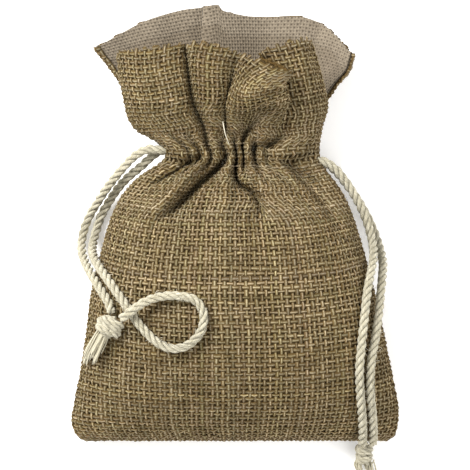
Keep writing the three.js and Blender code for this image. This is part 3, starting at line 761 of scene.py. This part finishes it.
def pressCreases(surface, folds):
    x, y = surface[..., 0], surface[..., 1]
    for spread, line in folds:
        best = np.full(x.shape, 1e9)
        depth, width = np.zeros(x.shape), np.ones(x.shape)
        for a, b in zip(line[:-1], line[1:]):
            dx, dy = b[0] - a[0], b[1] - a[1]
            t = np.clip(((x - a[0]) * dx + (y - a[1]) * dy) / (dx * dx + dy * dy), 0, 1)
            gap = np.hypot(x - a[0] - t * dx, y - a[1] - t * dy)
            near = gap < best
            rightHand = (dx * (y - a[1]) - dy * (x - a[0])) < 0
            best = np.where(near, gap, best)
            depth = np.where(near, a[2] + t * (b[2] - a[2]), depth)
            width = np.where(near, (a[3] + t * (b[3] - a[3])) * np.where(rightHand, spread, 1.0), width)
        surface[..., 2] -= depth * np.exp(-(best / width) ** 2)
    return surface


def eased(point, times=2):  # takes off the sharpest kinks
    for _ in range(times):
        point[1:-1] = point[1:-1] * 0.5 + (point[:-2] + point[2:]) * 0.25
        point[:, 1:-1] = point[:, 1:-1] * 0.5 + (point[:, :-2] + point[:, 2:]) * 0.25
    return point


def layCloth(stations, pressed):  # a grid of points evenly spaced along the cloth both ways
    g = clothGrid
    reach = np.linalg.norm(np.diff(stations, axis=0), axis=2)
    along = np.vstack([np.zeros(stations.shape[1]), np.cumsum(reach, axis=0)])
    mean = along.mean(axis=1)
    centreLine = stations[:, centreColumn, 1]
    keep = np.interp(centreLine, g["settle"], [g["uneven"], 0.0])[:, None]
    warpway = mean[:, None] + keep * (along - mean[:, None])
    neckAt = int(np.argmin(np.abs(centreLine - pouch["neck"])))
    beyond = (along[neckAt + 1:] - along[neckAt]) - (mean[neckAt + 1:] - mean[neckAt])[:, None]
    broad = np.exp(-np.linspace(-g["blurReach"], g["blurReach"], 2 * g["blur"] + 1) ** 2)
    broad = broad / broad.sum()
    beyond = np.array([np.convolve(np.pad(row, g["blur"], mode="edge"), broad, mode="valid")
                       for row in beyond])
    warpway[neckAt + 1:] = mean[neckAt + 1:, None] + g["flapUneven"] * beyond
    rows = np.linspace(0, mean[-1], g["rows"])
    surface = pressCreases(hermite(mean, stations, rows), pressed)
    length = hermite(mean, warpway, rows)
    gaps = np.linalg.norm(np.diff(surface, axis=1), axis=2)
    across = np.concatenate([np.zeros((len(rows), 1)), np.cumsum(gaps, axis=1)], 1)
    across = across / across[:, -1:] * 2 * half - half
    longest = float(length[-1].max())
    gridU = np.linspace(-half, half, g["across"])
    gridV = np.linspace(0, longest, int(longest * g["perMm"]) + 1)
    even = np.empty((len(rows), len(gridU), 4))
    for r in range(len(rows)):
        for k, field in enumerate((*surface[r].T, length[r])):
            even[r, :, k] = np.interp(gridU, across[r], field)
    point = np.empty((len(gridU), len(gridV), 3))
    for c in range(len(gridU)):
        way = np.maximum.accumulate(even[:, c, 3])
        for k in range(3):
            point[c, :, k] = np.interp(gridV, way, even[:, c, k])
    point = eased(point)
    normal = np.cross(np.gradient(point, axis=0), np.gradient(point, axis=1))
    normal /= np.linalg.norm(normal, axis=2, keepdims=True) + 1e-12
    return {"point": point * mm, "normal": normal, "top": longest, "brim": even[-1, :, 3],
            "mean": float(mean[-1]), "neck": float(mean[neckAt]), "swirl": None}


def brimAt(cloth, u):
    return np.interp(u, np.linspace(-half, half, len(cloth["brim"])), cloth["brim"])


def clothAt(cloth, u, v):  # points and normals at places on the flat cloth
    if cloth["swirl"]:
        middleU, middleV = cloth["swirl"]
        du, dv = u - middleU, v - middleV
        away = np.hypot(du, dv)
        share = np.clip((twist["fade"] - away) / (twist["fade"] - twist["core"]), 0, 1)
        turn = math.radians(twist["angle"]) * share * share * (3 - 2 * share)
        u = middleU + du * np.cos(turn) - dv * np.sin(turn)
        v = middleV + du * np.sin(turn) + dv * np.cos(turn)
    countU, countV = cloth["point"].shape[:2]
    fu = np.clip((u + half) / (2 * half) * (countU - 1), 0, countU - 1.001)
    fv = np.clip(v / cloth["top"] * (countV - 1), 0, countV - 1.001)
    iu, iv = fu.astype(int), fv.astype(int)
    tu, tv = (fu - iu)[..., None], (fv - iv)[..., None]
    point, normal = [f[iu, iv] * (1 - tu) * (1 - tv) + f[iu + 1, iv] * tu * (1 - tv)
                     + f[iu, iv + 1] * (1 - tu) * tv + f[iu + 1, iv + 1] * tu * tv
                     for f in (cloth["point"], cloth["normal"])]
    return point, normal / (np.linalg.norm(normal, axis=-1, keepdims=True) + 1e-12)


frontCloth = layCloth(frontStations(), creases)
backCloth = layCloth(backStations(), backCreases)
near = np.linalg.norm(frontCloth["point"] / mm - np.array(twist["at"]), axis=2)
atU, atV = np.unravel_index(np.argmin(near), near.shape)
frontCloth["swirl"] = (-half + atU / 3.0, atV * frontCloth["top"] / (near.shape[1] - 1))
print("cloth laid, front", round(frontCloth["mean"], 1), "back", round(backCloth["mean"], 1), "mm long")


# woven burlap: every warp and weft yarn is its own closed strand; waves are (step, size); a yarn's colour
# runs from painted shade on its flanks to painted highlight on its crest
weave = {"pitch": 1.3235, "halfWidth": 0.57, "halfThick": 0.24, "lift": 0.24, "seed": 5,
         "wander": (9, 0.1265), "swell": (5, 0.16), "shade": (7, 0.16), "bounce": (4, 0.18),
         "drift": (14, 0.05), "paleAbove": 0.78, "paleWidth": 0.82, "paleGlow": 1.12, "width": (0.92, 1.12), 
         "glow": (0.62, 0.98), "crestHighlightTone": (0.375, 0.319, 0.205), "flankShadeTone": (0.104, 0.066, 0.022), "taper": 0.55,
         "pinkDepth": 1.3, "pinkStep": 3.1, "pinkTrim": 0.6, "plainTrim": 0.3}
# a strand's section: across, up, and how far its colour goes from the flank's painted shade to the crest's
# painted highlight
strandCorners = ((-1, 0, 0), (-0.38, 0.82, 0.14), (0, 1, 1), (0.38, 0.82, 0.14), (1, 0, 0), (0, -1, 0))


def pinkedTop(cloth, u):
    wave = np.abs(((u / weave["pinkStep"]) % 1.0) * 2 - 1)
    return brimAt(cloth, u) - weave["pinkTrim"] - weave["pinkDepth"] * wave


def strandMesh(name, strands, material):
    points, quads, colours = [], [], []
    base, sides = 0, len(strandCorners)
    for line, normal, width, thick, crestHighlightTone, flankShadeTone in strands:
        side = np.cross(np.gradient(line, axis=0), normal)
        side /= np.linalg.norm(side, axis=1, keepdims=True) + 1e-12
        points.append(np.stack([line + side * (a * width)[:, None] + normal * (b * thick)[:, None]
                                for a, b, _ in strandCorners], 1).reshape(-1, 3))
        # colours from painted shade at the flanks to painted highlight at the crest
        toneAndPaintedLight = np.stack([flankShadeTone + (crestHighlightTone - flankShadeTone) * c for _, _, c in strandCorners], 1).reshape(-1, 3)
        colours.append(np.hstack([toneAndPaintedLight, np.ones((len(toneAndPaintedLight), 1))]))
        index = base + np.arange(len(toneAndPaintedLight)).reshape(-1, sides)
        turned = np.roll(index, -1, axis=1)
        quads.append(np.stack([index[:-1], index[1:], turned[1:], turned[:-1]], -1).reshape(-1, 4))
        for cap in ([0, 1, 2, 5], [2, 3, 4, 5]):
            quads.append([index[0][cap], index[-1][cap[::-1]]])
        base += len(toneAndPaintedLight)
    return meshFrom(name, np.vstack(points), np.vstack(quads), material, colours=np.vstack(colours))


def smoothNoise(random, count, wave):
    step, size = wave
    coarse = random.normal(0, 1, max(int(count / step) + 3, 4))
    return np.interp(np.linspace(0, len(coarse) - 1, count), np.arange(len(coarse)), coarse) * size


def weaveYarns(name, cloth, face, pinked, seed):  # face is 1 where the cloth's normal is outwards, else -1
    random = np.random.default_rng(seed)
    w, pitch = weave, weave["pitch"]
    counts = {"warp": int(round(2 * half / pitch)), "weft": int(cloth["top"] / pitch)}
    starts = {"warp": half, "weft": 0}
    result = []
    for way, other in (("warp", "weft"), ("weft", "warp")):
        strands = []
        for k in range(counts[way]):
            samples = counts[other] * 2 + 1
            run = np.arange(samples) * pitch / 2 - starts[other]
            place = (k + 0.5) * pitch - starts[way] + smoothNoise(random, samples, w["wander"])
            swell = 1 + smoothNoise(random, samples, w["swell"])
            pale = random.uniform(0, 1) > w["paleAbove"]
            thin = w["paleWidth"] if pale else random.uniform(*w["width"])
            glow = w["paleGlow"] if pale else random.uniform(*w["glow"])
            glow = glow * (1 + smoothNoise(random, samples, w["shade"]))
            crossing = np.arange(samples) % 2 == 1
            order = (np.arange(samples) // 2 + k) % 2 * 2 - 1
            lift = np.where(crossing, order * (1 if way == "warp" else -1), 0) * w["lift"]
            lift = lift * (1 + smoothNoise(random, samples, w["bounce"]))
            lift = lift + smoothNoise(random, samples, w["drift"])
            u, v = (place, run) if way == "warp" else (run, place)
            limit = pinkedTop(cloth, u) if pinked else brimAt(cloth, u) - w["plainTrim"]
            inside = v < limit
            if way == "warp":  # the last point of each warp yarn sits on the cut edge
                inside = v < limit + pitch / 2
                v = np.minimum(v, limit)
            point, normal = clothAt(cloth, u, v)
            normal = normal * face
            line = point + normal * (lift * mm)[:, None]
            width = w["halfWidth"] * thin * swell * mm
            thick = w["halfThick"] * (0.6 + 0.4 * thin) * np.ones(samples) * mm
            hue = np.array([1 + random.normal(0, 0.025), 1.0, 1 + random.normal(0, 0.05)])
            # the yarn's tone, lighter at the crest as painted highlight and darker at the flanks as painted
            # shade
            crestHighlightTone = np.array(w["crestHighlightTone"]) * hue * glow[:, None]
            flankShadeTone = np.array(w["flankShadeTone"]) * hue * (0.6 + 0.45 * glow[:, None])
            changes = np.flatnonzero(np.diff(np.concatenate([[0], inside, [0]])))
            for a, b in zip(changes[::2], changes[1::2]):
                if b - a < 3:
                    continue
                taper = np.ones(b - a)
                taper[0] = taper[-1] = w["taper"]
                strands.append((line[a:b], normal[a:b], width[a:b] * taper, thick[a:b] * taper,
                                crestHighlightTone[a:b], flankShadeTone[a:b]))
        result.append(strandMesh(name + "_" + way, strands, burlap))
        print("woven", name, way, len(strands), "strands", len(result[-1].data.polygons), "faces")
    return result


# the sheets under the yarns: layer depths, grid, lower edge (a hem's is measured from its top) and edge trim;
# the ground is a dark sheet whose brown is painted shade in the gaps between the yarns
sheets = {"ground": {"depths": (-0.28, -0.5), "grid": (181, 245), "low": 0.2},
          "lining": {"depths": (-1.0, -1.35), "grid": (121, 163), "low": 1.0},
          "hem": {"depths": (-0.7, -1.48), "grid": (181, 19), "low": -6.3},
          "sideTrim": 0.25, "tuckBelow": -0.55, "tuck": 0.42, "tuckReach": 9.0, "table": 0.15 * mm}


def clothSheet(name, cloth, face, s, material, trim):
    columns, rows = s["grid"]
    hem = s["low"] < 0
    reach = half - sheets["sideTrim"]
    u = np.linspace(-reach, reach, columns)[:, None] * np.ones((1, rows))
    top = brimAt(cloth, u) - trim
    ripple = 1 + 0.1 * np.sin(u * 0.29 + 0.7) + 0.06 * np.sin(u * 0.83)
    start = np.maximum(top + s["low"] * ripple, 0.2) if hem else s["low"]
    v = start + (top - start) * np.linspace(0, 1, rows)[None, :]
    point, normal = clothAt(cloth, u, v)
    normal = normal * face
    away = (v - cloth["neck"]) / sheets["tuckReach"]
    tuck = 1 - sheets["tuck"] * np.exp(-away ** 2)[..., None]  # the layers press together in the gathers
    layers = [point + normal * (depth * mm) * (tuck if depth < sheets["tuckBelow"] else 1)
              for depth in s["depths"]]
    if hem:  # its lower edge sinks into the cloth it is sewn to
        layers[1] = layers[1] + normal * (0.35 * mm * np.clip(1 - (v - start) / 1.2, 0, 1))[..., None]
    for layer in layers:
        layer[..., 2] = np.maximum(layer[..., 2], sheets["table"])
    outer = np.arange(columns * rows).reshape(columns, rows)
    inner = outer + columns * rows
    cells = [[outer[:-1, :-1], outer[1:, :-1], outer[1:, 1:], outer[:-1, 1:]],
             [inner[:-1, :-1], inner[:-1, 1:], inner[1:, 1:], inner[1:, :-1]]]
    quads = [np.stack(corners, -1).reshape(-1, 4)[:, ::face] for corners in cells]
    for edge, way in ((np.s_[:, 0], 1), (np.s_[:, -1], -1), (np.s_[0, :], -1), (np.s_[-1, :], 1)):
        a, b = outer[edge], inner[edge]
        quads.append(np.stack([a[:-1], b[:-1], b[1:], a[1:]], -1)[:, ::face * way])
    uvs = np.stack([u * mm, v * mm], -1).reshape(-1, 2)
    return meshFrom(name, np.vstack([layer.reshape(-1, 3) for layer in layers]), np.vstack(quads), material,
                    uvs=np.vstack([uvs, uvs]))


frontYarns = weaveYarns("front_burlap", frontCloth, 1, True, weave["seed"])
backYarns = weaveYarns("back_burlap", backCloth, -1, False, weave["seed"] + 1)
# dark sheets under the yarns: painted shade seen through the gaps between them
frontShadeSheet = clothSheet("front_burlap_shade_sheet", frontCloth, 1, sheets["ground"], burlapPaintedShade, 2.3)
backShadeSheet = clothSheet("back_burlap_shade_sheet", backCloth, -1, sheets["ground"], burlapPaintedShade, 0.6)
frontLining = clothSheet("front_lining_cloth", frontCloth, 1, sheets["lining"], liningCloth, 2.6)
backLining = clothSheet("back_lining_cloth", backCloth, -1, sheets["lining"], liningCloth, 0.8)
# the hem is the lining's cotton painted lighter: painted light on the doubled band
backHem = clothSheet("back_hem", backCloth, -1, sheets["hem"], hemClothLit, 0.3)


# channel stitches, loose fibres and the stray end; arcs are share of the length along and up at three points
sewing = {"length": 1.5 * mm, "gap": 2.2 * mm, "radius": 0.17 * mm, "proud": 0.32, "rows": (-3.3, 3.2),
          "ends": 3.5, "low": 0.5 * mm, "bends": 6, "sides": 6,
          "arc": ((-0.5, -0.2), (0.0, 0.35), (0.5, -0.2))}
fibreSet = {"length": 1.5 * mm, "radius": 0.035 * mm, "seed": 8, "burlapDensity": 42000.0,
            "cordDensity": 210000.0, "bends": 4, "sides": 3, "lean": 0.5, "sizes": (0.4, 1.25),
            "arc": ((0.0, -0.1), (0.45, 0.5), (1.0, 0.2))}
stray = {"radius": 0.13 * mm, "step": 0.4 * mm, "route": [[-3.3, 27.6, 21.4], [-3, 25.9, 22.2],
                   [-2.6, 24, 21.9], [-2, 22.3, 20.6], [-1.6, 21.2, 19.2]]}


def shortThread(tree, s, length, radius):  # one bent thread, to be placed many times
    arc = addNode(tree, "GeometryNodeCurveQuadraticBezier", {"Resolution": s["bends"]})
    for label, (across, height) in zip(("Start", "Middle", "End"), s["arc"]):
        corner = addNode(tree, "ShaderNodeCombineXYZ", {0: mathNode(tree, "MULTIPLY", length, across),
                                                        2: mathNode(tree, "MULTIPLY", length, height)})
        tree.links.new(corner.outputs[0], arc.inputs[label])
    return tubeAlong(tree, arc.outputs[0], ringOf(tree, s["sides"], radius))


def sewingTree(material):  # running stitches along a curve
    tree, inside, outside = geometryTree("runningStitch", [
        ("Stitch length", "Float", 0.002), ("Gap", "Float", 0.001), ("Thread radius", "Float", 0.0002)])
    step = mathNode(tree, "ADD", inside["Stitch length"], inside["Gap"])
    tangent = addNode(tree, "GeometryNodeInputTangent", {}).outputs[0]
    align = addNode(tree, "FunctionNodeAlignRotationToVector", {"Vector": tangent}, axis="X")
    stitches = addNode(tree, "GeometryNodeInstanceOnPoints", {
        "Points": resampled(tree, inside["Geometry"], step), "Rotation": align.outputs[0],
        "Instance": shortThread(tree, sewing, inside["Stitch length"], inside["Thread radius"])})
    return finishTree(tree, stitches.outputs[0], material, outside)


def fibreTree(name, material):  # short bent hairs scattered over a surface
    tree, inside, outside = geometryTree(name, [
        ("Density", "Float", 10000.0), ("Length", "Float", 0.001), ("Radius", "Float", 0.00004),
        ("Seed", "Int", 1)])
    scatter = addNode(tree, "GeometryNodeDistributePointsOnFaces", {
        "Mesh": inside["Geometry"], "Density": inside["Density"], "Seed": inside["Seed"]})
    lean = fibreSet["lean"]
    spin = addNode(tree, "FunctionNodeRandomValue", {
        0: (-lean, -lean, 0), 1: (lean, lean, 2 * math.pi), "Seed": inside["Seed"]}, data_type="FLOAT_VECTOR")
    size = addNode(tree, "FunctionNodeRandomValue", {
        2: fibreSet["sizes"][0], 3: fibreSet["sizes"][1], "Seed": inside["Seed"]}, data_type="FLOAT")
    turn = addNode(tree, "FunctionNodeRotateRotation", {0: scatter.outputs["Rotation"], 1: spin.outputs[0]},
                   rotation_space="LOCAL")
    hairs = addNode(tree, "GeometryNodeInstanceOnPoints", {
        "Points": scatter.outputs["Points"], "Rotation": turn.outputs[0], "Scale": size.outputs[1],
        "Instance": shortThread(tree, fibreSet, inside["Length"], inside["Radius"])})
    return finishTree(tree, hairs.outputs[0], material, outside)


runningStitch = sewingTree(stitchThread)
juteFibres, cottonFibres = fibreTree("juteFibres", juteHair), fibreTree("cottonFibres", cottonHair)


def sewRows(name, cloth, face):
    result = []
    u = np.linspace(-half + sewing["ends"], half - sewing["ends"], 500)
    for k, lift in enumerate(sewing["rows"]):
        point, normal = clothAt(cloth, u, np.full(500, cloth["neck"] + lift))
        line = evenly(point + normal * (face * sewing["proud"] * mm), 400)
        line[:, 2] = np.maximum(line[:, 2], sewing["low"])
        label = "%s_stitches_%d" % (name, k)
        values = {"Stitch length": sewing["length"], "Gap": sewing["gap"], "Thread radius": sewing["radius"]}
        result.append(grow(curveFrom(label + "Line", line), runningStitch, values, label))
    return result


def looseFibres(name, source, tree, density):
    ground = addObject(name + "Ground", source.data.copy())
    values = {"Density": density, "Length": fibreSet["length"], "Radius": fibreSet["radius"],
              "Seed": fibreSet["seed"]}
    hairs = grow(ground, tree, values, name)
    places = np.empty(len(hairs.data.vertices) * 3)
    hairs.data.vertices.foreach_get("co", places)
    places[2::3] = np.maximum(places[2::3], fibreSet["radius"])  # hairs under the pouch lie flat on the table
    hairs.data.vertices.foreach_set("co", places)
    return hairs


frontStitches, backStitches = sewRows("front", frontCloth, 1), sewRows("back", backCloth, -1)
frontHairs = looseFibres("front_loose_fibres", frontShadeSheet, juteFibres, fibreSet["burlapDensity"])
backHairs = looseFibres("back_loose_fibres", backShadeSheet, juteFibres, fibreSet["burlapDensity"])
cordHairs = {side: looseFibres(side + "_cord_fibres", ropes[node], cottonFibres, fibreSet["cordDensity"])
             for side, node in (("left", "left_cord_loop"), ("right", "right_cord_outer"))}
strayRoute = routeThrough(stray["route"], stray["step"])
strayEnd = tubesMesh("stray_thread", [strayRoute], stray["radius"], cottonHair)

# the front cloth runs on from the body into the flap and only has its transform baked; all other cloth stays
# with the body
for piece in frontYarns + [frontShadeSheet, frontLining, frontHairs]:
    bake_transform(piece)
for piece in backYarns + [backShadeSheet, backLining, backHem, backHairs, strayEnd] + frontStitches + backStitches:
    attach(piece, "pouch")
for side, piece in cordHairs.items():
    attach(piece, cordBodies[side])
finishes = {"burlap": frontYarns + backYarns + [frontShadeSheet, backShadeSheet],
            "lining": [frontLining, backLining, backHem],
            "thread": frontStitches + [frontHairs, backHairs, strayEnd] + backStitches,
            "cord": list(cordHairs.values())}
for material, pieces in finishes.items():
    for piece in pieces:
        print("finished", piece.name, len(piece.data.polygons), "faces")
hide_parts("front_panel", "front_flap")
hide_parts("back_panel")
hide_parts("front_lining", "front_flap_lining")
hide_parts("back_lining")
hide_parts("left_side_seam", "right_side_seam", "bottom_seam")
for k, level in enumerate(("lower", "upper")):
    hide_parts("front_stitch_" + level)
    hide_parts("back_stitch_" + level)

print("cloth made")
